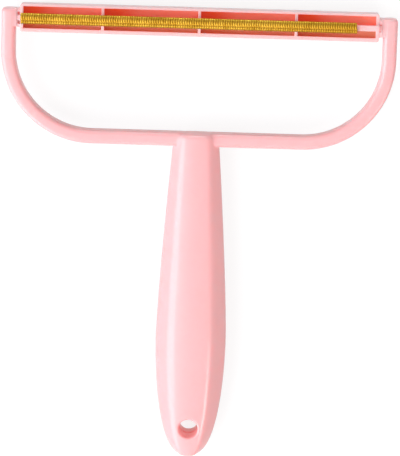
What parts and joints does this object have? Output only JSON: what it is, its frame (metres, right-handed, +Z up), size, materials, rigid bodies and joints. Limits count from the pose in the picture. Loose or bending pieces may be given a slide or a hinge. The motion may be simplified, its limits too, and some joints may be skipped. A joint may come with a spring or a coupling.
{
  "type": "double-sided lint remover",
  "caption": "Double-sided lint scraper: a hollow handle opens into a D-shaped frame that holds a troughed bar with a ribbed brass strip on each face.",
  "frame": {"origin": "under the middle of the whole tool, on the surface it lies on", "axes": "the tool lies flat with +Z up; +Y runs from the handle's tip to the scraper bar, and +X is to the right when the tool is seen from above with the bar away from the viewer"},
  "size_m": [0.155, 0.1808, 0.0185],
  "materials": {
    "pink_plastic": "glossy pale pink moulding",
    "ribbed_brass": "bright ribbed brass"
  },
  "bodies": {
    "root": {"front_shell": "pink_plastic", "rear_shell": "pink_plastic", "scraper_bar": "pink_plastic", "front_brass_strip": "ribbed_brass", "rear_brass_strip": "ribbed_brass"}
  },
  "joints": []
}
